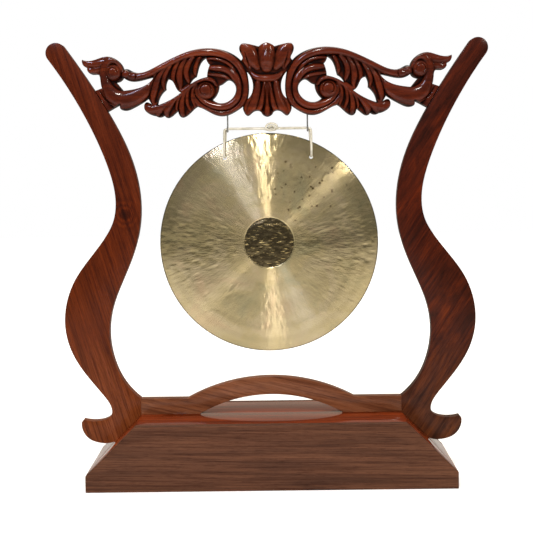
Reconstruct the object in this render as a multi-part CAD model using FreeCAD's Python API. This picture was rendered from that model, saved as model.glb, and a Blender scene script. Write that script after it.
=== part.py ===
"""Hanging gong on a carved rosewood table stand.

X runs to the right, Y to the back and Z up. The origin is on the table, under the middle of the stand.
All lengths are in millimetres.
"""

import FreeCAD, Part
import math
import os

V = FreeCAD.Vector

# Gong
gong_diameter = 305.0
gong_thickness = 1.5
gong_centre_z = 330.0
gong_rim_set_back = 2.0
gong_flat_radius = 120.0
gong_boss_radius = 35.0
gong_boss_height = 2.5
gong_hole_x = 60.0
gong_hole_z = 448.5
gong_hole_radius = 2.5

# Hooks and cord
hook_x = 55.5
hook_bowl_z = 489.5
hook_bowl_radius = 3.8
hook_wire_radius = 1.0
hook_shank_top_z = 519.0
hook_tip_rise = 2.5
cord_diameter = 3.2
cord_half_gap = 1.65
cord_drop = 0.7
cord_bend_radius = 3.5
cord_eye_radius = 2.9
cord_eye_front_y = -2.9
cord_eye_back_y = 3.9
cord_behind_rim_y = 4.9
cord_behind_rim_z = 470.0
cord_behind_rim_radius = 12.0
knot_x = 5.0
knot_half_length = 9.5
knot_radius = 6.2
knot_end_radius = 2.5
knot_forward = 2.6
knot_lift = 0.4
cord_end_in_knot = 5.5

# Stand
board = 18.0
crest_thickness = 22.0
stretcher_top_z = 112.5
stretcher_flat_end_x = 116.5
arch_top_z = 142.0
arch_under_x = 101.0
arch_under_z = 117.0

# Plinth
base_depth = 190.0
base_height = 90.0
base_half_bottom = 252.0
base_half_top = 183.0
base_end_height = 22.5
base_board = 12.0
glue_block = (34.0, 16.0, 16.0)
glue_block_x = (-120.0, 0.0, 120.0)

# Fasteners
screw_head_radius = 4.0
screw_head_height = 3.0
screw_shank_radius = 2.0
dowel_radius = 4.0
dowel_half_length = 14.0
crest_dowel_radius = 3.0
crest_dowel_half_length = 11.0
crest_dowel_x = 229.0
crest_dowel_z = 528.0
crest_dowel_fall = math.radians(31.0)
post_screw_spots = ((14.0, 32.0), (37.0, 30.0))
stretcher_screw_x = 142.0
stretcher_screw_length = 28.0
touch = 0.05


def point(x, z, y=0.0):
    return V(x, y, z)


def edges_of(spans, y=0.0):
    """Each span is a list of (x, z) points: two make a straight line, more make a smooth curve."""
    edges = []
    for span in spans:
        points = [point(x, z, y) for x, z in span]
        if len(points) == 2:
            edges.append(Part.makeLine(points[0], points[1]))
        else:
            curve = Part.BSplineCurve()
            curve.interpolate(points)
            edges.append(curve.toShape())
    return edges


def arc(a, b, c, y=0.0):
    return Part.Arc(point(*a, y), point(*b, y), point(*c, y)).toShape()


def plate(edges, y_front, y_back):
    """A flat piece whose outline lies in the XZ plane, from y_front to y_back."""
    face = Part.Face(Part.Wire(edges))
    face.translate(V(0, y_front, 0))
    return face.extrude(V(0, y_back - y_front, 0))


def mirrored(shape):
    return shape.mirror(V(0, 0, 0), V(1, 0, 0))


def both_sides(shape):
    return Part.makeCompound([mirrored(shape), shape])


def rod(start, direction, length, radius):
    return Part.makeCylinder(radius, length, start, direction)


# ---------------------------------------------------------------- plinth

def plinth_outline():
    """The plinth's outer corners, from the bottom left round the top to the bottom right."""
    right = [(base_half_top, base_height), (base_half_bottom, base_end_height), (base_half_bottom, 0.0)]
    return [(-x, z) for x, z in reversed(right)] + right


def plinth_inner_outline():
    """The same corners moved in by the thickness of a board."""
    slope = math.atan2(base_height - base_end_height, base_half_bottom - base_half_top)
    top_shift = base_board * math.tan(slope / 2)
    end_shift = base_board * math.tan((math.pi / 2 - slope) / 2)
    right = [
        (base_half_top - top_shift, base_height - base_board),
        (base_half_bottom - base_board, base_end_height - end_shift),
        (base_half_bottom - base_board, 0.0),
    ]
    return [(-x, z) for x, z in reversed(right)] + right


def plinth_face_board():
    """The front and the back board have the plinth's whole outline and cover the other boards' ends."""
    corners = plinth_outline()
    closed = [(a, b) for a, b in zip(corners, corners[1:] + corners[:1])]
    return plate(edges_of(closed), -base_depth / 2, -base_depth / 2 + base_board)


def plinth_strip(index):
    """One board between the front and the back, mitred where it meets the next one."""
    outer = plinth_outline()
    inner = plinth_inner_outline()
    corners = [outer[index], outer[index + 1], inner[index + 1], inner[index]]
    closed = [(a, b) for a, b in zip(corners, corners[1:] + corners[:1])]
    half = base_depth / 2 - base_board
    return plate(edges_of(closed), -half, half)


def glue_blocks():
    """Small blocks in the corners under the top board, behind the front and the back board."""
    length, depth, height = glue_block
    front_y = -base_depth / 2 + base_board
    bottom_z = base_height - base_board - height
    blocks = []
    for x in glue_block_x:
        for y in (front_y, -front_y - depth):
            blocks.append(Part.makeBox(length, depth, height, V(x - length / 2, y, bottom_z)))
    return Part.makeCompound(blocks)


# ---------------------------------------------------------------- frame

def post():
    """The right post: an S-curved board that ends in a round nose above and in a scroll foot below."""
    top_centre = (291.0, 596.0)
    nose = 14.0
    lean = math.radians(55.5)
    inner_top = (top_centre[0] - nose * math.sin(lean), top_centre[1] + nose * math.cos(lean))
    nose_tip = (top_centre[0] + nose * math.cos(lean), top_centre[1] + nose * math.sin(lean))
    outer_top = (top_centre[0] + nose * math.sin(lean), top_centre[1] - nose * math.cos(lean))
    inner = [
        (base_half_top, stretcher_top_z), (192, 120.5), (207.5, 140), (219, 166), (225, 200),
        (220.5, 240), (205, 280), (188.5, 320), (179.5, 357), (178, 385), (182, 420),
        (194, 460), (213, 500), (237, 541), (262, 579), inner_top,
    ]
    outer = [
        outer_top, (283, 560), (258.5, 519), (239, 480), (223, 440), (213.5, 402), (213, 380),
        (217.5, 360), (228.5, 340), (243.5, 320), (272.5, 280), (286, 240), (287, 214),
        (278.5, 180), (254, 141), (233, 115), (225, 101), (225, 90.5), (232, 84.5),
        (241, 82), (252, 81.5), (264.5, 83.5),
    ]
    slope = (base_height - base_end_height) / (base_half_bottom - base_half_top)
    heel_x = 221.5
    heel = (heel_x, base_height - slope * (heel_x - base_half_top))
    tip = (267, 80.5)
    sole = [tip, (265.5, 68), (256, 56), (243, 51), (231, 50), heel]
    edges = edges_of([inner])
    edges.append(arc(inner_top, nose_tip, outer_top))
    edges += edges_of([
        outer,
        [outer[-1], tip],
        sole,
        [heel, (base_half_top, base_height)],
        [(base_half_top, base_height), (base_half_top, stretcher_top_z)],
    ])
    return plate(edges, -board / 2, board / 2)


def stretcher():
    """The low rail between the posts, flat at its ends and arched in the middle."""
    edges = edges_of([
        [(-base_half_top, base_height), (-base_half_top, stretcher_top_z)],
        [(-base_half_top, stretcher_top_z), (-stretcher_flat_end_x, stretcher_top_z)],
    ])
    arch_end = (stretcher_flat_end_x, stretcher_top_z)
    edges.append(arc((-stretcher_flat_end_x, stretcher_top_z), (0, arch_top_z), arch_end))
    edges += edges_of([
        [arch_end, (base_half_top, stretcher_top_z)],
        [(base_half_top, stretcher_top_z), (base_half_top, base_height)],
        [(base_half_top, base_height), (arch_under_x, base_height)],
    ])
    edges.append(arc((arch_under_x, base_height), (0, arch_under_z), (-arch_under_x, base_height)))
    edges += edges_of([[(-arch_under_x, base_height), (-base_half_top, base_height)]])
    return plate(edges, -board / 2, board / 2)


def crest_outline():
    """The right half of the crest: palmette, C-scroll, stem, leaf tip, tail scroll, stub and lower curl."""
    return [
        [(0, 607.5), (6, 605.5), (11, 602)],
        [(11, 602), (18, 604), (27, 606), (35, 605.5), (37.5, 602), (36.5, 594), (33.5, 586), (35.5, 583)],
        [(35.5, 583), (47, 592), (62, 598), (83, 600.5), (105, 597.5), (130, 588), (155, 575.5),
         (175, 568), (184, 569), (192, 573), (198, 572.5)],
        [(198, 572.5), (206, 585), (221, 591), (239, 586.5), (256, 587)],
        [(256, 587), (255, 580), (249, 575.5)],
        [(249, 575.5), (247, 569), (242, 566.5), (233.5, 566), (231, 558), (229, 547.5)],
        [(229, 547.5), (250, 540)],
        [(250, 540), (232, 509)],
        [(232, 509), (204.5, 524)],
        [(204.5, 524), (203.5, 518), (198, 516), (185, 520), (174, 526), (165, 532)],
        [(165, 532), (160.5, 524)],
        [(160.5, 524), (170, 525.5), (171, 519), (165, 511.5), (155, 508)],
        [(155, 508), (150, 506), (143, 508.5)],
        [(143, 508.5), (138, 505), (131, 508.5), (124, 514)],
        [(124, 514), (116.5, 505.5), (110, 509), (104, 514.5), (97, 520)],
        [(97, 520), (86, 515.5), (74, 509), (62, 506.5), (48, 510.5), (33.5, 520)],
        [(33.5, 520), (32, 511), (27.5, 506.5), (20, 511.5), (14, 513.5), (8.5, 511.5)],
        [(8.5, 511.5), (4.5, 506.5), (0, 505)],
    ]


def crest_piercings():
    """The openings in the right half of the crest."""
    return [
        [[(209, 555), (202, 557.5), (199, 561.5)],
         [(199, 561.5), (189, 556.5), (174, 557.5), (157, 561.5)],
         [(157, 561.5), (165, 553), (180, 546.5), (199.5, 543.5)],
         [(199.5, 543.5), (209, 555)]],
        [[(137, 558.5), (130.5, 555), (126, 546), (119.5, 540)],
         [(119.5, 540), (134, 530.5), (152, 523)],
         [(152, 523), (147, 537), (140, 544)],
         [(140, 544), (139.5, 553), (137, 558.5)]],
        [[(84, 587), (82.5, 582), (79, 577.5)],
         [(79, 577.5), (82, 569), (83, 561)],
         [(83, 561), (95, 557.5), (107, 551)],
         [(107, 551), (103.5, 557), (97.5, 561.5)],
         [(97.5, 561.5), (95.5, 569), (92, 579), (84, 587)]],
        [[(75.5, 529.5), (62, 524.5), (49, 530.5), (43, 543), (46, 552), (53, 556), (59, 552.5), (66, 549)],
         [(66, 549), (69, 537.5), (75.5, 529.5)]],
        [[(27.5, 567.5), (21, 557), (19.5, 546), (22, 536), (27, 530)],
         [(27, 530), (25, 543), (25.5, 555), (27.5, 567.5)]],
    ]


def carved_crest(post_shape):
    """One pierced board. Its stubs end against the inner edges of the posts."""
    half = crest_thickness / 2
    outline = crest_outline()
    centre_line = [outline[-1][-1], outline[0][0]]
    right = plate(edges_of(outline + [centre_line]), -half, half)
    for opening in crest_piercings():
        right = right.cut(plate(edges_of(opening), -half, half))
    right = right.cut(post_shape.fuse(post_at_crest_depth(post_shape)))
    return mirrored(right).fuse(right).removeSplitter()


def post_at_crest_depth(post_shape):
    """The post's outline as deep as the crest, so that the crest stops square against it."""
    front = post_shape.copy()
    front.translate(V(0, -(crest_thickness - board) / 2, 0))
    back = post_shape.copy()
    back.translate(V(0, (crest_thickness - board) / 2, 0))
    return front.fuse(back)


# ---------------------------------------------------------------- fasteners

def wood_screw(head, direction, length):
    """A countersunk screw whose flat head lies at the point head and whose tip points along direction."""
    cone = Part.makeCone(screw_head_radius, screw_shank_radius, screw_head_height, head, direction)
    shank_start = head + direction * screw_head_height
    tip_length = 2 * screw_shank_radius
    shank_length = length - screw_head_height - tip_length
    shank = rod(shank_start, direction, shank_length, screw_shank_radius)
    tip_start = shank_start + direction * shank_length
    tip = Part.makeCone(screw_shank_radius, 0.0, tip_length, tip_start, direction)
    return cone.fuse([shank, tip]).removeSplitter()


def post_screws():
    """Two screws up through each sloped board, square to it, into the foot of the post.

    A spot is the screw's distance down the slope from the top edge, and its length.
    """
    run = base_half_bottom - base_half_top
    rise = base_height - base_end_height
    long_side = math.hypot(run, rise)
    normal = V(rise / long_side, 0, run / long_side)
    screws = []
    for along, length in post_screw_spots:
        on_slope = V(base_half_top + along * run / long_side, 0, base_height - along * rise / long_side)
        screws.append(wood_screw(on_slope - normal * base_board, normal, length))
    return both_sides(Part.makeCompound(screws))


def stretcher_screws():
    """One screw up through the top board into each flat end of the stretcher."""
    head = V(stretcher_screw_x, 0, base_height - base_board)
    return both_sides(wood_screw(head, V(0, 0, 1), stretcher_screw_length))


def stretcher_dowels():
    height = (base_height + stretcher_top_z) / 2
    start = V(base_half_top - dowel_half_length, 0, height)
    return both_sides(rod(start, V(1, 0, 0), 2 * dowel_half_length, dowel_radius))


def crest_dowels():
    """A dowel from each stub into the post, square to the joint."""
    joint = V(crest_dowel_x, 0, crest_dowel_z)
    direction = V(math.cos(crest_dowel_fall), 0, -math.sin(crest_dowel_fall))
    start = joint - direction * crest_dowel_half_length
    return both_sides(rod(start, direction, 2 * crest_dowel_half_length, crest_dowel_radius))


# ---------------------------------------------------------------- hooks, cord and gong

def rounded_path(points, radii):
    """Straight runs through the points, with a tangent arc of the given radius at each inner one."""
    edges = []
    start = points[0]
    for before, corner, after, radius in zip(points, points[1:], points[2:], radii):
        to_before = (before - corner).normalize()
        to_after = (after - corner).normalize()
        half_angle = to_before.getAngle(to_after) / 2
        run_in = corner + to_before * (radius / math.tan(half_angle))
        run_out = corner + to_after * (radius / math.tan(half_angle))
        middle_way = (to_before + to_after).normalize()
        middle = corner + middle_way * (radius / math.sin(half_angle) - radius)
        if (run_in - start).Length > touch / 10:
            edges.append(Part.makeLine(start, run_in))
        edges.append(Part.Arc(run_in, middle, run_out).toShape())
        start = run_out
    edges.append(Part.makeLine(start, points[-1]))
    return edges


def tube(edges, radius):
    """A round bar along a path of tangent lines and arcs."""
    path = Part.Wire(edges)
    start = path.Edges[0].firstVertex().Point
    direction = path.Edges[0].tangentAt(path.Edges[0].FirstParameter)
    section = Part.Wire(Part.makeCircle(radius, start, direction))
    solid = path.makePipeShell([section], True, False)
    expected = math.pi * radius ** 2 * path.Length
    print("tube volume / expected", round(solid.Volume / expected, 4), "length", round(path.Length, 1))
    return solid


def hook():
    """The right hook: a wire with a straight shank behind and an open bowl that carries the cord."""
    reach = hook_bowl_radius + hook_wire_radius
    bowl_start = V(hook_x, reach, hook_bowl_z)
    bowl_bottom = V(hook_x, 0, hook_bowl_z - reach)
    bowl_end = V(hook_x, -reach, hook_bowl_z)
    edges = [
        Part.makeLine(V(hook_x, reach, hook_shank_top_z), bowl_start),
        Part.Arc(bowl_start, bowl_bottom, bowl_end).toShape(),
        Part.makeLine(bowl_end, bowl_end + V(0, 0, hook_tip_rise)),
    ]
    return tube(edges, hook_wire_radius)


def cord_z():
    return hook_bowl_z - cord_drop


def eye_z():
    """The height of the cord's line where it carries the gong: the hole's top edge rests on it."""
    return gong_hole_z + gong_hole_radius - cord_diameter / 2 - touch


def hanging_cord():
    """One loop: over the hooks, through the gong's two holes, and closed by the knot on the front span."""
    over = cord_z()

    def fall(side):
        x = side * gong_hole_x
        return [
            (V(x, -cord_half_gap, over), cord_bend_radius),
            (V(x, cord_eye_front_y, eye_z()), cord_eye_radius),
            (V(x, cord_eye_back_y, eye_z()), cord_eye_radius),
            (V(x, cord_behind_rim_y, cord_behind_rim_z), cord_behind_rim_radius),
            (V(x, cord_half_gap, over), cord_bend_radius),
        ]

    corners = fall(1) + list(reversed(fall(-1)))
    first = V(knot_x + cord_end_in_knot, -cord_half_gap, over)
    last = V(knot_x - cord_end_in_knot, -cord_half_gap, over)
    points = [first] + [p for p, r in corners] + [last]
    return tube(rounded_path(points, [r for p, r in corners]), cord_diameter / 2)


def cord_knot(cord_shape):
    """The knot that joins the cord's ends. The back span runs past it in a groove."""
    centre = V(knot_x, -cord_half_gap - knot_forward, cord_z() + knot_lift)
    left = V(-knot_half_length, 0, 0)
    right = V(knot_half_length, 0, 0)
    shoulder = V(0, 0, knot_end_radius)
    profile = Part.Wire([
        Part.makeLine(right, left),
        Part.makeLine(left, left + shoulder),
        Part.Arc(left + shoulder, V(0, 0, knot_radius), right + shoulder).toShape(),
        Part.makeLine(right + shoulder, right),
    ])
    body = Part.Face(profile).revolve(V(0, 0, 0), V(1, 0, 0), 360)
    body.translate(centre)
    length = 4 * knot_half_length
    start = V(knot_x - length / 2, cord_half_gap, cord_z())
    groove = rod(start, V(1, 0, 0), length, cord_diameter / 2 + touch)
    return body.cut(groove).cut(cord_shape)


def gong_disc():
    """A turned bronze disc, flat with a low domed centre and an edge set back a little."""
    front = -gong_thickness / 2
    radius = gong_diameter / 2
    sag_radius = ((radius - gong_flat_radius) ** 2 + gong_rim_set_back ** 2) / (2 * gong_rim_set_back)
    middle_r = (gong_flat_radius + radius) / 2
    middle_y = (middle_r - gong_flat_radius) ** 2 / (2 * sag_radius)

    def skin(y):
        dome_r = gong_boss_radius / 2
        dome_y = gong_boss_height * (1 - (dome_r / gong_boss_radius) ** 2)
        dome_top = V(0, y - gong_boss_height, 0)
        dome_foot = V(gong_boss_radius, y, 0)
        flat_end = V(gong_flat_radius, y, 0)
        rim = V(radius, y + gong_rim_set_back, 0)
        return [
            Part.Arc(dome_top, V(dome_r, y - dome_y, 0), dome_foot).toShape(),
            Part.makeLine(dome_foot, flat_end),
            Part.Arc(flat_end, V(middle_r, y + middle_y, 0), rim).toShape(),
        ]

    back = front + gong_thickness
    edge = Part.makeLine(V(radius, front + gong_rim_set_back, 0), V(radius, back + gong_rim_set_back, 0))
    axis = Part.makeLine(V(0, back - gong_boss_height, 0), V(0, front - gong_boss_height, 0))
    profile = Part.Wire(Part.__sortEdges__(skin(front) + [edge] + skin(back) + [axis]))
    disc = Part.Face(profile).revolve(V(0, 0, 0), V(0, 1, 0), 360)
    disc.translate(V(0, 0, gong_centre_z))
    for side in (-1, 1):
        disc = disc.cut(rod(V(side * gong_hole_x, -10, gong_hole_z), V(0, 1, 0), 20, gong_hole_radius))
    return disc


# ---------------------------------------------------------------- assembly

def build():
    parts = {}
    front_board = plinth_face_board()
    back_board = front_board.copy()
    back_board.translate(V(0, base_depth - base_board, 0))
    parts["base_front_board"] = front_board
    parts["base_back_board"] = back_board
    strips = ("base_end_left", "base_slope_left", "base_top_board", "base_slope_right", "base_end_right")
    for index, name in enumerate(strips):
        parts[name] = plinth_strip(index)
    parts["glue_blocks"] = glue_blocks()

    right_post = post()
    parts["post_right"] = right_post
    parts["post_left"] = mirrored(right_post)
    parts["stretcher"] = stretcher()
    parts["carved_crest"] = carved_crest(right_post)
    parts["hook_right"] = hook()
    parts["hook_left"] = mirrored(parts["hook_right"])

    parts["post_screws"] = post_screws()
    parts["stretcher_screws"] = stretcher_screws()
    parts["stretcher_dowels"] = stretcher_dowels()
    parts["crest_dowels"] = crest_dowels()

    holes = {
        "post_screws": ("base_slope_left", "base_slope_right", "post_left", "post_right"),
        "stretcher_screws": ("base_top_board", "stretcher"),
        "stretcher_dowels": ("stretcher", "post_left", "post_right"),
        "crest_dowels": ("carved_crest", "post_left", "post_right"),
        "hook_right": ("carved_crest",),
        "hook_left": ("carved_crest",),
    }
    for fastener, drilled in holes.items():
        for name in drilled:
            parts[name] = parts[name].cut(parts[fastener].Solids)

    parts["gong_disc"] = gong_disc()
    parts["hanging_cord"] = hanging_cord()
    parts["cord_knot"] = cord_knot(parts["hanging_cord"])
    return parts


def write(parts):
    os.makedirs("parts", exist_ok=True)
    for name, shape in parts.items():
        solids = shape.Solids
        whole = solids[0] if len(solids) == 1 else Part.makeCompound(solids)
        whole.exportStep(f"parts/{name}.step")
        print(name, len(solids), "valid" if whole.isValid() else "INVALID", round(whole.Volume))


write(build())
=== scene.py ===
"""The looks of a hanging gong on a carved rosewood table stand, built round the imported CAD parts."""

import math

import bmesh
import bpy
import numpy as np
from mathutils import Matrix, Vector, geometry, kdtree


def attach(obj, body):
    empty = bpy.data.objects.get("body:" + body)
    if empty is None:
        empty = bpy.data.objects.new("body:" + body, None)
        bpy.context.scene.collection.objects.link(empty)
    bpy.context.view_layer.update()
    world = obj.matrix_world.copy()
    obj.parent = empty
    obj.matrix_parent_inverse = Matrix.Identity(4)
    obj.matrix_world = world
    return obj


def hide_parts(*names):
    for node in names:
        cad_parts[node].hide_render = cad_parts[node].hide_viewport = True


MM = 0.001

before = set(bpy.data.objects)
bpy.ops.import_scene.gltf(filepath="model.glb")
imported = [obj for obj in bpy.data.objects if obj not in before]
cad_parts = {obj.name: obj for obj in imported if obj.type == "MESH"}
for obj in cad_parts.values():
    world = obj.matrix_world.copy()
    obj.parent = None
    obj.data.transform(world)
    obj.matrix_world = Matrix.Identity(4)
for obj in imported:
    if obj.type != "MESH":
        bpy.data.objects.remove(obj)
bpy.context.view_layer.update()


# ---- camera, light and floor

GONG_CENTRE = Vector((0.0, 0.0, 0.33))
CAMERA_PLACE = Vector((0.0103, -1.921, 0.4485))
CAMERA_TILT = math.radians(4.53)
CAMERA_YAW = math.radians(0.43)
CAMERA_ROLL = math.radians(-0.78)
CAMERA_LENS = 92.9
SENSOR_WIDTH = 36.0
FLOOR_HALF = 6.0


def add_camera():
    data = bpy.data.cameras.new("camera")
    data.lens = CAMERA_LENS
    data.sensor_width = SENSOR_WIDTH
    camera = bpy.data.objects.new("camera", data)
    bpy.context.scene.collection.objects.link(camera)
    forward = Vector((
        -math.sin(CAMERA_YAW) * math.cos(CAMERA_TILT),
        math.cos(CAMERA_YAW) * math.cos(CAMERA_TILT),
        -math.sin(CAMERA_TILT),
    ))
    turn = forward.to_track_quat("-Z", "Y").to_matrix() @ Matrix.Rotation(CAMERA_ROLL, 3, "Z")
    camera.matrix_world = Matrix.Translation(CAMERA_PLACE) @ turn.to_4x4()
    bpy.context.scene.camera = camera


def add_softbox(name, clock, tilt, distance, size, watts, colour=(1.0, 1.0, 1.0)):
    """A soft lamp that faces the gong.

    Clock is its angle round the gong's axis, from the right, and tilt is its angle off that axis, in degrees.
    """
    turn, lean = math.radians(clock), math.radians(tilt)
    away = Vector((math.cos(turn) * math.sin(lean), -math.cos(lean), math.sin(turn) * math.sin(lean)))
    data = bpy.data.lights.new(name, "AREA")
    data.shape = "RECTANGLE"
    data.size, data.size_y = size
    data.energy = watts
    data.color = colour
    light = bpy.data.objects.new(name, data)
    light.location = GONG_CENTRE + away * distance
    light.rotation_euler = (-away).to_track_quat("-Z", "Y").to_euler()
    bpy.context.scene.collection.objects.link(light)


def add_lights():
    add_softbox("above_camera", 94, 36, 2.2, (0.08, 0.55), 25, (1.0, 0.93, 0.88))
    add_softbox("upper_right", 41, 36, 2.3, (0.02, 0.2), 8, (1.0, 0.93, 0.84))
    add_softbox("upper_left", 118, 36, 2.3, (0.26, 0.36), 17, (0.66, 0.72, 1.0))
    add_softbox("low_left", 212, 50, 1.6, (0.6, 0.4), 9)
    add_softbox("overhead_back", 90, 122, 1.7, (0.9, 0.5), 12, (1.0, 0.93, 0.82))


def add_world():
    """White to the eye. Everything else sees a room.

    The room is dim in front, warmer and brighter behind, and brighter at the sides and overhead.
    """
    world = bpy.data.worlds.new("studio")
    bpy.context.scene.world = world
    world.use_nodes = True
    tree = world.node_tree
    tree.nodes.clear()
    output = tree.nodes.new("ShaderNodeOutputWorld")
    choose = tree.nodes.new("ShaderNodeMixShader")
    path = tree.nodes.new("ShaderNodeLightPath")
    seen = tree.nodes.new("ShaderNodeBackground")
    seen.inputs["Color"].default_value = (1.0, 1.0, 1.0, 1.0)
    lit = tree.nodes.new("ShaderNodeBackground")
    tone = colour_ramp(tree, [(0.5, (1.0, 0.96, 0.89)), (0.95, (1.0, 0.84, 0.66))])
    place = tree.nodes.new("ShaderNodeTexCoord")
    x, y, z = separated(tree, place.outputs["Generated"])
    behind = map_range(tree, y, (-0.3, 0.6), (0.2, 0.42))
    above = map_range(tree, z, (0.3, 0.85), (0.0, 0.35))
    beside = map_range(tree, maths(tree, "ABSOLUTE", x), (0.75, 0.95), (0.0, 0.3))
    link = tree.links.new
    link(y, tone.inputs["Fac"])
    link(tone.outputs["Color"], lit.inputs["Color"])
    link(maths(tree, "ADD", maths(tree, "ADD", behind, above), beside), lit.inputs["Strength"])
    link(path.outputs["Is Camera Ray"], choose.inputs[0])
    link(lit.outputs[0], choose.inputs[1])
    link(seen.outputs[0], choose.inputs[2])
    link(choose.outputs[0], output.inputs["Surface"])


def add_floor():
    """Pale paper, which glows to the eye alone, so that it fades into the white behind it."""
    mesh = bpy.data.meshes.new("floor")
    corners = [(x * FLOOR_HALF, y * FLOOR_HALF, 0) for x, y in ((-1, -1), (1, -1), (1, 1), (-1, 1))]
    mesh.from_pydata(corners, [], [(0, 1, 2, 3)])
    floor = bpy.data.objects.new("floor", mesh)
    bpy.context.scene.collection.objects.link(floor)
    paper = [(0.3, (0.86, 0.84, 0.79)), (0.7, (0.92, 0.9, 0.85))]
    material, shader, tree = simple_material("floor", (3.0, 3.0, 3.0), 2.0, paper, 0.9)
    shader.inputs["Specular IOR Level"].default_value = 0.1
    far = vector_maths(tree, "LENGTH", object_place(tree))["Value"]
    fade = map_range(tree, far, (0.3, 1.6), (0.45, 0.8))
    path = tree.nodes.new("ShaderNodeLightPath")
    shader.inputs["Emission Color"].default_value = (1.0, 1.0, 1.0, 1.0)
    eye_only = maths(tree, "MULTIPLY", fade, path.outputs["Is Camera Ray"])
    tree.links.new(eye_only, shader.inputs["Emission Strength"])
    mesh.materials.append(material)


# ---- shader nodes

NO_TINT = (1.0, 1.0, 1.0)


def calculated(tree, kind, operation, values):
    """The outputs of a maths node. Each value is another node's output or a constant."""
    node = tree.nodes.new(kind)
    node.operation = operation
    for socket, value in zip(node.inputs, values):
        if isinstance(value, bpy.types.NodeSocket):
            tree.links.new(value, socket)
        else:
            socket.default_value = value
    return node.outputs


def maths(tree, operation, *values):
    return calculated(tree, "ShaderNodeMath", operation, values)["Value"]


def vector_maths(tree, operation, *values):
    return calculated(tree, "ShaderNodeVectorMath", operation, values)


def map_range(tree, value, source, target):
    node = tree.nodes.new("ShaderNodeMapRange")
    node.inputs["From Min"].default_value, node.inputs["From Max"].default_value = source
    node.inputs["To Min"].default_value, node.inputs["To Max"].default_value = target
    tree.links.new(value, node.inputs["Value"])
    return node.outputs["Result"]


def object_place(tree):
    return tree.nodes.new("ShaderNodeTexCoord").outputs["Object"]


def separated(tree, vector):
    """A vector's x, y and z."""
    node = tree.nodes.new("ShaderNodeSeparateXYZ")
    tree.links.new(vector, node.inputs[0])
    return tuple(node.outputs)


def multiply(tree, a, b):
    node = tree.nodes.new("ShaderNodeMix")
    node.data_type = "RGBA"
    node.blend_type = "MULTIPLY"
    node.inputs["Factor"].default_value = 1.0
    tree.links.new(a, node.inputs["A"])
    tree.links.new(b, node.inputs["B"])
    return node.outputs["Result"]


def colour_ramp(tree, stops):
    """Stops is a list of (place, linear colour)."""
    node = tree.nodes.new("ShaderNodeValToRGB")
    ramp = node.color_ramp
    while len(ramp.elements) < len(stops):
        ramp.elements.new(0.5)
    for element, (place, colour) in zip(ramp.elements, stops):
        element.position = place
        element.color = (*colour, 1.0)
    return node


def tinted(tree, colour, value, stops):
    """The colour multiplied by a ramp over the value."""
    ramp = colour_ramp(tree, stops)
    tree.links.new(value, ramp.inputs["Fac"])
    return multiply(tree, colour, ramp.outputs["Color"])


def noise_at(tree, vector, detail, roughness, distortion=0.0):
    noise = tree.nodes.new("ShaderNodeTexNoise")
    noise.inputs["Scale"].default_value = 1.0
    noise.inputs["Detail"].default_value = detail
    noise.inputs["Roughness"].default_value = roughness
    noise.inputs["Distortion"].default_value = distortion
    tree.links.new(vector, noise.inputs["Vector"])
    return noise.outputs["Fac"]


def stretched_noise(tree, scale, detail, roughness=0.55, distortion=0.0, slant=0.0):
    """Noise over the object's own metres, with so many features per metre along each axis.

    Slant is how far its long axis leans round Y, in degrees.
    """
    mapping = tree.nodes.new("ShaderNodeMapping")
    mapping.vector_type = "TEXTURE"
    mapping.inputs["Rotation"].default_value = (0.0, math.radians(slant), 0.0)
    mapping.inputs["Scale"].default_value = tuple(1 / s for s in scale)
    tree.links.new(object_place(tree), mapping.inputs["Vector"])
    return noise_at(tree, mapping.outputs["Vector"], detail, roughness, distortion)


def bump(tree, height, distance, below=None):
    node = tree.nodes.new("ShaderNodeBump")
    node.inputs["Strength"].default_value = 1.0
    node.inputs["Distance"].default_value = distance
    tree.links.new(height, node.inputs["Height"])
    if below is not None:
        tree.links.new(below, node.inputs["Normal"])
    return node.outputs["Normal"]


# ---- wood, steel and cord

def new_material(name):
    material = bpy.data.materials.new(name)
    material.use_nodes = True
    tree = material.node_tree
    shader = tree.nodes["Principled BSDF"]
    return material, shader, tree


def simple_material(name, scale, detail, stops, roughness):
    """A material whose colour is one ramp over noise."""
    material, shader, tree = new_material(name)
    ramp = colour_ramp(tree, stops)
    tree.links.new(stretched_noise(tree, scale, detail), ramp.inputs["Fac"])
    tree.links.new(ramp.outputs["Color"], shader.inputs["Base Color"])
    shader.inputs["Roughness"].default_value = roughness
    return material, shader, tree


def along(axis, long_scale, cross_scale):
    return tuple(long_scale if i == axis else cross_scale for i in range(3))


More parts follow.
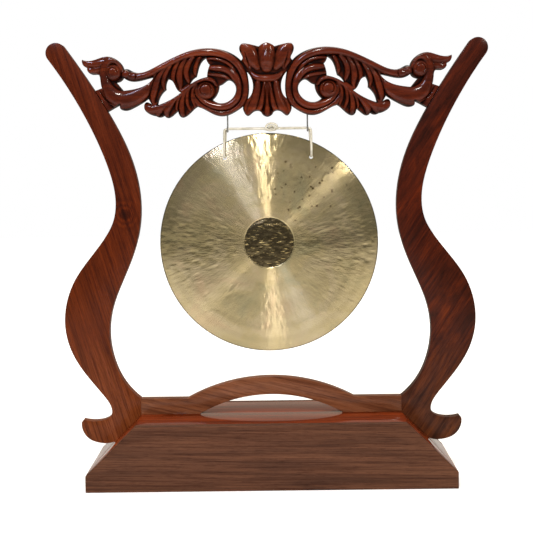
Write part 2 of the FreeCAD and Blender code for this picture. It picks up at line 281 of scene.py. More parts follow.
def rosewood(name, colours, grain, gloss, painted_foot_light=None, knot=None, paints_carving_shade=False):
    """Lacquered rosewood: broad figure, growth bands and fine pores along the grain's axis.

    Colours go from dark to light. Grain holds its axis, its slant in degrees, the features per metre along
    and across it, and how swirled the figure is. The foot light, a list of (z in metres, tint), is painted
    light: it makes the colour lighter and greyer towards the feet, as the floor's bounce light would. Knot is
    the place of a dark knot. For a carving, painted shade darkens the recesses, whose coat is also dulled,
    and a painted highlight lightens the crowns.
    """
    material, shader, tree = new_material(name)
    link = tree.links.new
    axis, slant = grain["axis"], grain["slant"]
    figure_scale = along(axis, grain["reach"], grain["figure"])
    figure = stretched_noise(tree, figure_scale, 5.0, 0.6, grain["swirl"], slant)
    bands = stretched_noise(tree, along(axis, 6.0, grain["bands"]), 4.0, 0.65, 0.3, slant)
    pores = stretched_noise(tree, along(axis, 60.0, 1900.0), 2.0, 0.7, 0.0, slant)
    base = colour_ramp(tree, list(zip((0.3, 0.52, 0.74), colours)))
    link(figure, base.inputs["Fac"])
    colour = tinted(tree, base.outputs["Color"], bands, [
        (0.36, (0.58, 0.52, 0.5)), (0.52, NO_TINT), (0.68, (1.2, 1.16, 1.12)),
    ])
    colour = tinted(tree, colour, pores, [(0.36, (0.55, 0.5, 0.5)), (0.47, NO_TINT)])
    # Painted bounce light: the colour grows lighter and greyer towards the feet
    if painted_foot_light:
        _, _, z = separated(tree, object_place(tree))
        colour = tinted(tree, colour, z, painted_foot_light)
    if knot:
        colour = with_knot(tree, colour, figure, knot)
    shader.inputs["Coat Weight"].default_value = gloss["coat"]
    # Painted shade darkens the carving's recesses and a painted highlight lightens its crowns; the coat is
    # dulled in the recesses
    if paints_carving_shade:
        shade_paint_mask = tree.nodes.new("ShaderNodeAttribute")
        shade_paint_mask.attribute_name = "shade_paint_mask"
        colour = tinted(tree, colour, shade_paint_mask.outputs["Fac"], [
            (0.0, (1.4, 1.3, 1.2)), (0.3, (0.95, 0.95, 0.95)), (0.75, (0.1, 0.09, 0.09)),
        ])
        coat = map_range(tree, shade_paint_mask.outputs["Fac"], (0.1, 0.5), (gloss["coat"], 0.05))
        link(coat, shader.inputs["Coat Weight"])
    link(colour, shader.inputs["Base Color"])
    rough = gloss["roughness"]
    link(map_range(tree, bands, (0.0, 1.0), (rough + 0.08, rough - 0.04)), shader.inputs["Roughness"])
    link(bump(tree, pores, gloss["pore_depth"]), shader.inputs["Normal"])
    shader.inputs["Specular IOR Level"].default_value = 0.03
    shader.inputs["Coat Roughness"].default_value = gloss["coat_roughness"]
    return material


def with_knot(tree, colour, figure, centre):
    """The colour with a dark knot at the centre, ringed unevenly by the figure of the wood."""
    away = vector_maths(tree, "DISTANCE", object_place(tree), centre)["Value"]
    rings = map_range(tree, away, (0.0, 0.03), (0.0, 0.8))
    uneven = map_range(tree, figure, (0.3, 0.7), (0.0, 0.2))
    return tinted(tree, colour, maths(tree, "ADD", rings, uneven), [
        (0.1, (0.4, 0.35, 0.35)), (0.26, (0.6, 0.55, 0.5)), (0.34, (1.3, 1.2, 1.0)), (0.44, (0.7, 0.65, 0.6)),
        (0.54, (1.2, 1.15, 1.0)), (0.64, (0.8, 0.75, 0.7)), (0.8, NO_TINT),
    ])


POST_GLOSS = {"roughness": 0.5, "coat": 0.2, "coat_roughness": 0.18, "pore_depth": 0.00012}

# What rosewood() takes for each wood
LEFT_POST_WOOD = (
    [(0.045, 0.007, 0.001), (0.082, 0.013, 0.002), (0.115, 0.021, 0.005)],
    {"axis": 2, "slant": -17.0, "reach": 5.0, "figure": 60.0, "bands": 420.0, "swirl": 1.2},
    POST_GLOSS,
    # painted bounce light from the floor, lighter and greyer towards the foot
    [(0.08, (2.3, 3.6, 5.5)), (0.2, (1.5, 1.7, 1.6)), (0.3, (1.2, 1.2, 0.9)), (0.45, (0.95, 0.9, 0.9))],
    (-0.2, -0.009, 0.372),
)
RIGHT_POST_WOOD = (
    [(0.016, 0.003, 0.001), (0.05, 0.0075, 0.002), (0.1, 0.014, 0.002)],
    {"axis": 2, "slant": 33.0, "reach": 9.0, "figure": 34.0, "bands": 300.0, "swirl": 1.6},
    POST_GLOSS,
    # painted bounce light from the floor, lighter and greyer towards the foot
    [(0.08, (1.6, 3.2, 4.6)), (0.2, (1.15, 1.3, 1.2)), (0.4, (1.1, 1.0, 0.8)), (0.5, (0.95, 0.9, 0.9))],
)
RAIL_WOOD = (
    [(0.095, 0.027, 0.009), (0.195, 0.068, 0.027), (0.3, 0.12, 0.056)],
    {"axis": 0, "slant": 13.0, "reach": 3.0, "figure": 50.0, "bands": 210.0, "swirl": 0.8},
    {"roughness": 0.5, "coat": 0.3, "coat_roughness": 0.15, "pore_depth": 0.00012},
)
PLINTH_WOOD = (
    [(0.07, 0.03, 0.017), (0.112, 0.046, 0.024), (0.155, 0.066, 0.034)],
    {"axis": 0, "slant": 1.0, "reach": 4.0, "figure": 75.0, "bands": 420.0, "swirl": 0.8},
    {"roughness": 0.55, "coat": 0.15, "coat_roughness": 0.3, "pore_depth": 0.00012},
)
CARVED_WOOD = (
    [(0.03, 0.004, 0.001), (0.069, 0.009, 0.0015), (0.115, 0.019, 0.003)],
    {"axis": 0, "slant": 0.0, "reach": 3.0, "figure": 26.0, "bands": 150.0, "swirl": 0.6},
    {"roughness": 0.5, "coat": 0.45, "coat_roughness": 0.12, "pore_depth": 0.00005},
)


def polished_rosewood(name, axis):
    return rosewood(
        name, [(0.11, 0.014, 0.002), (0.225, 0.031, 0.004), (0.32, 0.055, 0.008)],
        {"axis": axis, "slant": 0.0, "reach": 3.0, "figure": 26.0, "bands": 150.0, "swirl": 0.6},
        {"roughness": 0.4, "coat": 0.6, "coat_roughness": 0.03, "pore_depth": 0.0001},
    )


def plain_wood():
    stops = [(0.35, (0.38, 0.25, 0.13)), (0.65, (0.58, 0.43, 0.26))]
    material, _, _ = simple_material("plain_softwood", (12.0, 12.0, 260.0), 3.0, stops, 0.7)
    return material


def plain_steel():
    stops = [(0.35, (0.17, 0.17, 0.165)), (0.65, (0.34, 0.34, 0.33))]
    material, shader, _ = simple_material("plain_steel", (400.0, 400.0, 400.0), 3.0, stops, 0.38)
    shader.inputs["Metallic"].default_value = 1.0
    return material


def white_cord():
    stops = [(0.3, (0.4, 0.37, 0.26)), (0.6, (0.66, 0.63, 0.5)), (0.8, (0.76, 0.74, 0.64))]
    material, shader, _ = simple_material("white_cord", (90.0, 90.0, 90.0), 4.0, stops, 0.8)
    shader.inputs["Sheen Weight"].default_value = 0.3
    return material


# ---- mesh helpers

# Points closer than this are one point, in metres
WELD = 0.00001

# In degrees: edges flatter than the first are dissolved, those sharper than the second are rounded over, and
# the rounded mesh is shaded smooth where it bends less than the third
FLAT_BELOW = 0.6
SHARP_ABOVE = 35
SMOOTH_BELOW = 30

SPLINE_STEPS = 6


def add_piece(name, mesh, body, material, slot, *nodes):
    piece = bpy.data.objects.new(name, mesh)
    bpy.context.scene.collection.objects.link(piece)
    mesh.materials.clear()
    mesh.materials.append(material)
    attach(piece, body)
    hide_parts(*nodes)


def shade(mesh, sharp_angle):
    """Smooth shading, with edges sharper than the angle kept crisp."""
    for polygon in mesh.polygons:
        polygon.use_smooth = True
    mesh.set_sharp_from_angle(angle=math.radians(sharp_angle))


def cad_bmesh(node):
    """A clean copy of a CAD node's mesh, with its split corners welded."""
    work = bmesh.new()
    work.from_mesh(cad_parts[node].data)
    bmesh.ops.remove_doubles(work, verts=work.verts, dist=WELD)
    return work


def softened(node, material, slot, width, segments=3):
    """A copy of a CAD node whose sharp edges are rounded over, as sanded and lacquered wood is."""
    work = cad_bmesh(node)
    flat = math.radians(FLAT_BELOW)
    bmesh.ops.dissolve_limit(work, angle_limit=flat, verts=work.verts, edges=work.edges)
    limit = math.radians(SHARP_ABOVE)
    sharp = [e for e in work.edges if len(e.link_faces) == 2 and e.calc_face_angle() > limit]
    bmesh.ops.bevel(
        work, geom=sharp, offset=width * MM, segments=segments, profile=0.5,
        affect="EDGES", clamp_overlap=True,
    )
    bmesh.ops.triangulate(work, faces=[f for f in work.faces if len(f.verts) > 4])
    mesh = bpy.data.meshes.new(node + "_rounded")
    work.to_mesh(mesh)
    work.free()
    shade(mesh, SMOOTH_BELOW)
    add_piece(node + "_rounded", mesh, "stand", material, slot, node)


def spline(rows):
    """Points on a smooth curve through the rows, each row any number of values."""
    rows = np.array(rows, float)
    padded = np.vstack([2 * rows[0] - rows[1], rows, 2 * rows[-1] - rows[-2]])
    found = []
    for i in range(1, len(padded) - 2):
        p0, p1, p2, p3 = padded[i - 1:i + 3]
        for step in range(SPLINE_STEPS):
            t = step / SPLINE_STEPS
            found.append(0.5 * (
                2 * p1 + (p2 - p0) * t + (2 * p0 - 5 * p1 + 4 * p2 - p3) * t * t
                + (3 * p1 - p0 - 3 * p2 + p3) * t ** 3
            ))
    found.append(rows[-1])
    return np.array(found)


# ---- the carved crest

# The carving is a relief: each form is a stroke with rows of (x, z, half width, crown) in millimetres,
# for the right half of the crest. The crown is how far the form stands in front of the board's middle.
CREST_BACK = 11.0
CREST_GROUND = 4.6
CREST_GRID = 0.85
CREST_BACK_GRID = 4.0

# Where the walls have rows of points between the carving's edge and the back
CREST_WALL_ROWS = (5.0, CREST_BACK - 0.8)

# The carving stays behind a quarter ellipse, which rises from the board's edge to in front of every crown
CREST_EDGE_ROUND = 3.5
CREST_EDGE_FACE = -1.0
CREST_EDGE_RISE = 13.0

SCROLL_FORMS = [
    # stem from the bud, over the top and round the ring
    [(193, 565, 5.5, 8), (185, 562.5, 6.2, 9.5), (175, 562.5, 5.5, 10), (163, 566, 5.2, 10.5),
     (150, 572.5, 5.2, 11), (135, 580.5, 5.5, 11), (120, 587.5, 5.8, 11.2), (104, 592.5, 6, 11.4),
     (88, 594.8, 6, 11.5), (72, 593.5, 6, 11.5), (57, 588.5, 6, 11.2), (44, 579.5, 6, 10.6),
     (35, 567, 5.2, 9.8), (30.5, 553, 4.6, 9), (30.2, 540, 4.6, 8.6), (34, 528, 5, 8.6),
     (43, 517.5, 5.5, 8.8), (55, 511.8, 5.2, 9), (66, 511, 5.2, 9), (78, 513.8, 5.2, 8.8),
     (89, 519.5, 5, 8.4), (98, 528, 4.4, 8), (103, 538, 3.6, 7.6), (104, 548, 2.4, 7)],
    # inner band of the ring
    [(62, 574, 2, 7), (52, 570, 4, 8.5), (44, 562, 5, 10), (39.5, 551, 5.2, 10.8), (38.8, 541, 5.2, 11),
     (42, 531, 5.4, 11), (50, 523, 5.8, 11.2), (60, 519.2, 6, 11.3), (70, 519.4, 6, 11.2),
     (80, 522.5, 5.5, 10.6), (89, 528, 4.8, 9.8), (95, 535, 4.2, 9), (98, 543, 3.4, 8.4),
     (97, 551, 2.2, 7.6)],
    # band that passes over the ball and runs down to the lower curl
    [(70, 549, 2.2, 9), (75, 555, 3, 10), (84, 558, 3.2, 10.4), (95, 555.5, 3.4, 10), (105, 549.5, 4, 9.6),
     (115, 542, 5, 9.6), (127, 534, 6.6, 10), (139, 526, 7.6, 10.4), (150, 519.6, 8, 10.8),
     (160, 517, 7.4, 11), (167, 518.5, 5.6, 10.6), (170, 522, 3.2, 9)],
    # tail scroll, up and over its own ball
    [(156, 558, 3, 6), (164, 549, 7, 8.5), (174, 540, 10.5, 10), (187, 533, 12.2, 11),
     (200, 530.5, 12.6, 11.4), (211, 534.5, 11.5, 11.4), (218.5, 544, 8.6, 11),
     (222.5, 555, 6.6, 10.6), (225, 566, 6.4, 10.4),
     (223.5, 577, 6.4, 10.4), (217, 585, 6, 10.6), (208, 584.5, 5.2, 10), (202.5, 578, 4.6, 9),
     (200.5, 570, 3.4, 8)],
    # leaf tip that points to the post
    [(217, 584, 6.4, 9.6), (229, 582, 6.8, 9.6), (240, 580.5, 5.6, 9), (249, 582.5, 4.2, 8.4),
     (256.5, 587, 1.6, 7)],
    [(226, 574, 5, 8.4), (236, 573, 6, 8.4), (243, 571.5, 5.2, 8), (249, 577, 2, 7)],
]

LEAF_FORMS = [
    # leaf that hangs between the tail scroll and the lower curl
    [(150, 570, 2, 8.6), (157, 560, 2.6, 8.4), (161, 550, 2.6, 8), (163, 541, 1.4, 7.4)],
    [(138, 577, 3, 9.6), (149, 562, 4.4, 10.2), (155, 546, 5.2, 10.4), (158, 532, 4, 9.8),
     (157, 523, 2, 8.6)],
    [(130, 581, 2.6, 9), (139, 568, 3.8, 9.6), (143.5, 555, 3.6, 9.2), (142, 544.5, 1.6, 8)],
    # broad leaf between the two openings under the stem
    [(120, 584, 2.8, 9.2), (126.5, 573, 3.8, 9.4), (129.5, 561, 3.6, 9), (128, 550, 1.6, 8)],
    [(110, 588, 3, 9.6), (117.5, 576, 4.6, 10), (121, 562, 5.4, 10), (119.5, 549, 3.4, 9),
     (121, 542, 1.2, 8)],
    [(99, 591, 3, 9.6), (108, 580, 4.4, 10), (112, 568, 4.6, 9.8), (109, 556, 3, 8.6), (106, 552, 1.2, 7.8)],
    [(90, 592, 2.2, 9), (96, 581, 3, 9.4), (99, 569, 3.2, 9.2), (98, 562.5, 1.8, 8)],
    # leaf inside the ring, whose tips point outwards
    [(85, 584, 1.6, 8), (76, 585.5, 2.4, 9), (63, 583.5, 3, 9.4), (52, 577.5, 3, 9.4), (44.5, 568, 2.4, 9)],
    [(82, 573, 2.6, 8.6), (71, 572.5, 4.6, 10.2), (60, 571, 4.8, 10.4), (51, 565.5, 4, 10),
     (45, 556, 2.4, 9.4)],
    [(84, 564, 2, 6.2), (73, 563.5, 3, 6.6), (63, 562, 3, 7.4), (55, 559, 2.6, 8), (48, 552, 2, 8.4)],
    # fingers that fall from the ring and from the lower stem
    [(97, 553, 1.8, 8.4), (102.5, 543, 2.4, 8.8), (103.5, 531, 2.6, 8.4), (100, 520.5, 2, 7.6)],
    [(103, 551.5, 1.8, 8.8), (109.5, 541, 2.8, 9.2), (111, 527, 3, 8.8), (107, 515.5, 2, 7.8)],
    [(109, 547, 2, 9.2), (115.5, 536, 3.4, 9.8), (118.5, 522, 4.2, 9.8), (117.5, 511, 3.6, 9.2),
     (116, 506, 1.6, 8)],
    [(116, 541, 2, 9.2), (122.5, 531, 2.8, 9.4), (125.5, 520, 2.2, 8.6), (125, 514.5, 1.2, 7.8)],
    [(122, 536, 2.4, 9.4), (131, 527, 4.6, 10.2), (139, 516.5, 5.6, 10.2), (139, 508, 2.8, 8.8)],
    [(138, 525, 3, 9.6), (146, 518, 4.8, 10.4), (152, 510.5, 3.4, 9.2)],
]

PALMETTE_FORMS = [
    # middle petal and the bud on it
    [(0, 573, 8, 8.4), (0, 582, 12, 9.4), (0, 592, 12.5, 9.6), (0, 601, 9.5, 9), (0, 607.5, 3.5, 8)],
    [(0, 575, 6.5, 9.2), (0, 581, 9.6, 11.2), (0, 587, 9.2, 11.2), (0, 594, 4.6, 10.2)],
    # side petals
    [(13, 573, 5, 7.4), (18, 581, 8.4, 8.8), (22, 590, 10.6, 9.4), (27, 598, 9.4, 9.2),
     (33, 603.5, 4.5, 8.2)],
    [(24, 573, 3.6, 7), (29, 582, 4.6, 7.8), (33, 592, 3.6, 7.8)],
    # collar
    [(0, 557.5, 5.4, 10.8), (9, 558, 5.2, 10.2), (16, 560.5, 4.2, 9), (21, 565, 2.6, 7.4)],
    # skirt: the first flute leans over the middle line, so its right border alone shows, once on each side
    [(-2, 551, 4.6, 9), (-3, 540, 5.2, 9.6), (-3.6, 524, 6.6, 10), (-3, 511, 7, 10), (-1, 505.5, 3, 9)],
    [(3, 551, 3, 8.8), (4.6, 540, 3.6, 9.2), (8, 524, 4.8, 9.6), (12, 514.5, 4, 8.8)],
    [(12.5, 552, 4, 8.6), (13.2, 543, 5, 9.2), (16.5, 529, 6.2, 9.8), (21.5, 517, 6.8, 9.8),
     (27, 509, 3.6, 8.6)],
    [(19.5, 546, 2.2, 7.2), (23, 533, 3, 7.8), (28.5, 521, 3.4, 7.8), (30.5, 512, 2, 7.4)],
]

# How flat a form or a ball is on top, and the share of its crown that is left at its border
FORM_FULLNESS = 2.4
BALL_FULLNESS = 3.5
BALL_BORDER = 0.35
FORM_FAMILIES = ((SCROLL_FORMS, 0.52), (LEAF_FORMS, 0.38), (PALMETTE_FORMS, 0.42))

# (x, z, radius, crown)
CREST_BALLS = [(85, 541.5, 13, 11.6), (212.5, 568.5, 12, 11.4), (195, 565.5, 6.4, 9.6), (163, 517.5, 8, 11)]

# Fine cuts, rows of (x, z, half width, depth)
CREST_CUTS = [
    [(100, 588.5, 0.8, 1.4), (84, 588.6, 1, 2.4), (68, 587.2, 1.1, 2.8), (53, 581.5, 1.1, 2.8),
     (41.5, 570.5, 1.1, 2.4), (35.8, 556, 1, 2), (34.8, 541, 1, 1.8), (38.5, 526.5, 1, 1.8),
     (49, 516.8, 1, 1.8), (62, 513.8, 1, 1.8), (76, 516.5, 1, 1.8), (90, 524, 1, 1.6), (99, 535, 0.9, 1.4)],
    [(0, 553, 0.4, 0.5), (3.4, 545, 0.8, 1.6), (4, 530, 0.9, 1.8), (6.2, 513, 0.9, 1.8)],
    [(182, 568, 1, 1.2), (181, 562, 1.1, 1.8), (183, 557, 1, 1.2)],
    [(78, 537, 0.8, 1), (77, 544, 1, 1.6), (81, 550, 1.1, 2), (88, 550.5, 1.1, 2), (92.5, 545, 1.1, 1.8),
     (91, 538.5, 1, 1.4), (85.5, 537, 0.8, 0.9)],
    [(206, 566, 0.8, 0.8), (208, 573, 1, 1.3), (215, 575, 1, 1.4), (219, 569, 1, 1.2),
     (216, 563.5, 0.8, 0.8)],
    [(24, 573, 0.9, 1), (27, 583, 0.9, 1.4), (30, 594, 0.8, 1.2)],
    [(232, 545, 1.2, 1.2), (224, 532, 1.4, 1.5), (211, 523, 1.2, 1.2)],
]

# The stubs that meet the posts are plain and stand higher than the ground
STUB_FACE = 7.4
STUB_START = 214.0
STUB_RAMP = 7.0


def nearest_share(points, path):
    """Each point's distance from the path as a share of its half width, and the path's fourth value there."""
    share = np.full(len(points), np.inf)
    value = np.zeros(len(points))
    for a, b in zip(path[:-1], path[1:]):
        run = b[:2] - a[:2]
        t = np.clip(((points - a[:2]) @ run) / max(run @ run, 1e-9), 0, 1)
        near = a[None, :] + t[:, None] * (b - a)[None, :]
        here = np.hypot(*(points - near[:, :2]).T) / np.maximum(near[:, 2], 0.05)
        closer = here < share
        share[closer] = here[closer]
        value[closer] = near[closer, 3]
    return share, value


def domed(share, crown, fullness, border):
    """A rounded form's height: the crown in its middle, falling to the border's share of it at its edge."""
    low = crown * border
    return np.where(share < 1, low + (crown - low) * np.sqrt(np.clip(1 - share ** fullness, 0, 1)), 0.0)


def carved_height(points, edge_distance):
    """How far the carving stands in front of the board's middle, in millimetres, at each (x, z)."""
    right = np.column_stack([np.abs(points[:, 0]), points[:, 1]])
    stub = np.clip((right[:, 0] - STUB_START) / STUB_RAMP, 0, 1)
    height = CREST_GROUND + (STUB_FACE - CREST_GROUND) * stub
    for forms, border in FORM_FAMILIES:
        for form in forms:
            share, crown = nearest_share(right, spline(form))
            height = np.maximum(height, domed(share, crown, FORM_FULLNESS, border))
    for x, z, radius, crown in CREST_BALLS:
        share = np.hypot(right[:, 0] - x, right[:, 1] - z) / radius
        height = np.maximum(height, domed(share, crown, BALL_FULLNESS, BALL_BORDER))
    for cut in CREST_CUTS:
        share, depth = nearest_share(right, spline(cut))
        inside = share < 1
        height[inside] -= depth[inside] * (1 - share[inside] ** 2)
    rounding = np.clip(edge_distance / CREST_EDGE_ROUND, 0, 1)
    limit = CREST_EDGE_FACE + CREST_EDGE_RISE * np.sqrt(1 - (1 - rounding) ** 2)
    return np.minimum(height, limit)


# A bend sharper than this, in degrees, is a corner of an outline
CORNER_ABOVE = 28

# How closely an edge is sampled to find a point's distance from it, in millimetres
EDGE_STEP = 0.3


def outline_loops(node, spacing):
    """The closed loops round a flat board's front face, as (x, z) in millimetres."""
    work = cad_bmesh(node)
    low = min(v.co.y for v in work.verts)
    front = [f for f in work.faces if all(abs(v.co.y - low) < WELD for v in f.verts)]
    inside = set(front)
    rim = {}
    for face in front:
        for loop in face.loops:
            if any(f not in inside for f in loop.edge.link_faces):
                rim[loop.vert] = loop.link_loop_next.vert
    loops = []
    while rim:
        start, following = rim.popitem()
        loop = [start]
        while following is not start:
            loop.append(following)
            following = rim.pop(following)
        loops.append(resampled(np.array([(v.co.x, v.co.z) for v in loop]) / MM, spacing))
    work.free()
    return loops


def resampled(points, spacing):
    """A closed loop with a point at each corner and even steps between corners."""
    ahead = np.roll(points, -1, 0) - points
    behind = points - np.roll(points, 1, 0)
    cross = behind[:, 0] * ahead[:, 1] - behind[:, 1] * ahead[:, 0]
    turn = np.abs(np.arctan2(cross, (behind * ahead).sum(1)))
    corners = np.flatnonzero(turn > math.radians(CORNER_ABOVE))
    if len(corners) == 0:
        corners = np.array([0])
    loop = []
    for first, last in zip(corners, np.append(corners[1:], corners[0] + len(points))):
        run = points[np.arange(first, last + 1) % len(points)]
        lengths = np.concatenate([[0], np.cumsum(np.hypot(*np.diff(run, axis=0).T))])
        count = max(1, int(round(lengths[-1] / spacing)))
        at = np.linspace(0, lengths[-1], count + 1)[:-1]
        loop.extend(np.column_stack([np.interp(at, lengths, run[:, 0]), np.interp(at, lengths, run[:, 1])]))
    return np.array(loop)


def distance_field(loops):
    """A function that gives each (x, z) point's distance from the nearest edge of the board."""
    dense = np.vstack([resampled(loop, EDGE_STEP) for loop in loops])
    tree = kdtree.KDTree(len(dense))
    for i, p in enumerate(dense):
        tree.insert((p[0], p[1], 0), i)
    tree.balance()
    return lambda points: np.array([tree.find((p[0], p[1], 0))[2] for p in points])


def inside_loops(points, loops):
    """Even-odd test of (x, z) points against all loops together."""
    inside = np.zeros(len(points), bool)
    x, z = points[:, 0], points[:, 1]
    for loop in loops:
        for (x0, z0), (x1, z1) in zip(loop, np.roll(loop, -1, 0)):
            if z0 == z1:
                continue
            crosses = ((z0 > z) != (z1 > z)) & (x < (x1 - x0) * (z - z0) / (z1 - z0) + x0)
            inside ^= crosses
    return inside


def hex_grid(loops, spacing):
    """Points at even distances from their six neighbours, over the loops' box."""
    every = np.vstack(loops)
    low, high = every.min(0), every.max(0)
    rows = np.arange(low[1], high[1], spacing * math.sqrt(3) / 2)
    points = [
        (x + (spacing / 2 if i % 2 else 0.0), z)
        for i, z in enumerate(rows) for x in np.arange(low[0], high[0], spacing)
    ]
    return np.array(points)


def filled_sheet(loops, grid, margin, distance):
    """A triangle mesh inside the loops: (points, triangles). The loops' own points come first."""
    grid = grid[inside_loops(grid, loops)]
    grid = grid[distance(grid) > margin]
    rim = np.vstack(loops)
    edges = []
    start = 0
    for loop in loops:
        count = len(loop)
        edges += [(start + i, start + (i + 1) % count) for i in range(count)]
        start += count
    every = [Vector(p) for p in np.vstack([rim, grid])]
    points, _, triangles, _, _, _ = geometry.delaunay_2d_cdt(every, edges, [], 1, 1e-7)
    points = np.array([tuple(p) for p in points])
    triangles = np.array(triangles)
    return points, triangles[inside_loops(points[triangles].mean(1), loops)]


# A point gets painted shade for lying below the mean of its neighbourhood, and for lying low in the board,
# and a painted highlight for standing above it. The walls and the back, which aren't carved, all count as one
# plain height.
RECESS_PASSES = 22
RECESS_LEVEL = 0.3
RECESS_FULL_DEPTH = 2.6
RECESS_LOW_FROM = 8.0
RECESS_LOW_SPAN = 5.0
RECESS_LOW_SHARE = 0.5
PLAIN_HEIGHT = 6.0


def add_shade_paint_mask(mesh, height):
    """How deep each vertex lies below the carving round it, 0 on the crowns and 1 in the grooves."""
    edges = np.empty(len(mesh.edges) * 2, np.int32)
    mesh.edges.foreach_get("vertices", edges)
    first, second = edges.reshape(-1, 2).T
    size = len(height)
    count = np.bincount(np.concatenate([first, second]), minlength=size)
    smooth = height.copy()
    for _ in range(RECESS_PASSES):
        total = np.bincount(first, smooth[second], size) + np.bincount(second, smooth[first], size)
        smooth = total / np.maximum(count, 1)
    below = np.clip(RECESS_LEVEL + (smooth - height) / RECESS_FULL_DEPTH, 0, 1)
    low = np.clip((RECESS_LOW_FROM - height) / RECESS_LOW_SPAN, 0, 1) * RECESS_LOW_SHARE
    # The mask for the carving's painted shade in its grooves and painted highlight on its crowns
    shade_paint_mask = mesh.attributes.new("shade_paint_mask", "FLOAT", "POINT")
    shade_paint_mask.data.foreach_set("value", np.maximum(below, low).astype(np.float32))


def carved_crest(material):
    """The crest, carved in front and flat behind, inside the CAD board's own outline."""
    loops = outline_loops("carved_crest", CREST_GRID)
    distance = distance_field(loops)
    rim_count = sum(len(loop) for loop in loops)
    front, front_faces = filled_sheet(loops, hex_grid(loops, CREST_GRID), CREST_GRID * 0.55, distance)
    back, back_faces = filled_sheet(loops, hex_grid(loops, CREST_BACK_GRID), CREST_BACK_GRID * 0.5, distance)
    edge_distance = distance(front)
    edge_distance[:rim_count] = 0.0
    height = carved_height(front, edge_distance)
    vertices = [(x * MM, -h * MM, z * MM) for (x, z), h in zip(front, height)]
    walls = []
    for y in CREST_WALL_ROWS:
        walls.append(len(vertices))
        vertices += [(x * MM, y * MM, z * MM) for x, z in front[:rim_count]]
    back_start = len(vertices)
    vertices += [(x * MM, CREST_BACK * MM, z * MM) for x, z in back]
    faces = [tuple(f) for f in front_faces] + [tuple(back_start + i for i in reversed(f)) for f in back_faces]
    faces += wall_faces(loops, [0] + walls + [back_start])
    mesh = bpy.data.meshes.new("carved_crest_relief")
    mesh.from_pydata(vertices, [], faces)
    add_shade_paint_mask(mesh, np.concatenate([height, np.full(len(vertices) - len(height), PLAIN_HEIGHT)]))
    tidy_normals(mesh)
    shade(mesh, sharp_angle=50)
    add_piece("crest_carving", mesh, "stand", material, "carved_rosewood", "carved_crest")


# ---- the gong

GONG_RADIUS = 152.5
GONG_BOSS = 35.0
GONG_FLAT = 120.0
GONG_THICKNESS = 1.5
GONG_SET_BACK = 2.0
GONG_BOSS_HEIGHT = 2.5
GONG_HOLES = [(-60.0, 118.5), (60.0, 118.5)]
GONG_HOLE_RADIUS = 2.5
GONG_STEP = 1.02
GONG_BACK_STEP = 3.6
GONG_BACK_MARGIN = 1.6
GONG_RIM_POINTS = 900
GONG_HOLE_POINTS = 28
GONG_WALL_INSET = 0.3
GONG_DARK_RIM = 0.9

# The boss's edge lies behind the turned face by this step, which fades inwards
BOSS_STEP = 0.4
BOSS_STEP_FADE = 2.2

HAMMER_SEED = 12
HAMMER_BLOWS = 1900
HAMMER_FROM = 44
HAMMER_TO = 151
WAVINESS = 0.32
BOSS_BLOWS = 170
PIT_CLUSTER = GONG_CENTRE + Vector((0.055, 0.0, 0.075))


def dish(radius):
    """How far back the gong's turned surface lies from its flat, in millimetres."""
    sag = ((GONG_RADIUS - GONG_FLAT) ** 2 + GONG_SET_BACK ** 2) / (2 * GONG_SET_BACK)
    rim = np.clip(radius - GONG_FLAT, 0, None) ** 2 / (2 * sag)
    dome = -GONG_BOSS_HEIGHT * np.clip(1 - (radius / GONG_BOSS) ** 2, 0, None)
    step = np.where(radius < GONG_BOSS, BOSS_STEP * np.exp((radius - GONG_BOSS) / BOSS_STEP_FADE), 0.0)
    return rim + dome + step


def ring_grid(step):
    """Points on rings round (0, 0), each ring turned a little from the one before it."""
    rings = [np.zeros((1, 2))]
    for i, radius in enumerate(np.arange(step, GONG_RADIUS, step)):
        count = max(6, int(round(2 * math.pi * radius / step)))
        angles = 2 * math.pi * (np.arange(count) + 0.5 * (i % 2)) / count
        rings.append(radius * np.column_stack([np.cos(angles), np.sin(angles)]))
    return np.vstack(rings)


def circle_loop(centre, radius, count):
    angles = 2 * math.pi * np.arange(count) / count
    return np.array(centre) + radius * np.column_stack([np.cos(angles), np.sin(angles)])


def hammer_marks(points):
    """The hammering under the turned face: long dents that run out from the middle, and a slow waviness."""
    rng = np.random.default_rng(HAMMER_SEED)
    radius = np.hypot(points[:, 0], points[:, 1])
    angle = np.arctan2(points[:, 1], points[:, 0])
    depth = np.zeros(len(points))
    for _ in range(HAMMER_BLOWS):
        r0 = math.sqrt(rng.uniform(HAMMER_FROM ** 2, HAMMER_TO ** 2))
        a0 = rng.uniform(-math.pi, math.pi)
        length, width = rng.uniform(1.6, 4.0), rng.uniform(1.1, 2.0)
        amount = rng.uniform(0.015, 0.062) * rng.choice([-1, 1])
        across = (angle - a0 + math.pi) % (2 * math.pi) - math.pi
        near = (np.abs(radius - r0) < 3 * length) & (np.abs(across) * r0 < 3 * width)
        u = (radius[near] - r0) / length
        v = across[near] * r0 / width
        depth[near] += amount * np.exp(-0.5 * (u * u + v * v))
    for turns in range(3, 22):
        phase = rng.uniform(0, 2 * math.pi)
        reach = rng.uniform(25, 70)
        wave = WAVINESS / turns * np.sin(turns * angle + phase) * np.sin(radius / reach + phase)
        depth += wave * (radius / GONG_RADIUS)
    return depth * np.clip((radius - GONG_BOSS) / 12, 0, 1) * np.clip((GONG_RADIUS - radius) / 3, 0, 1)


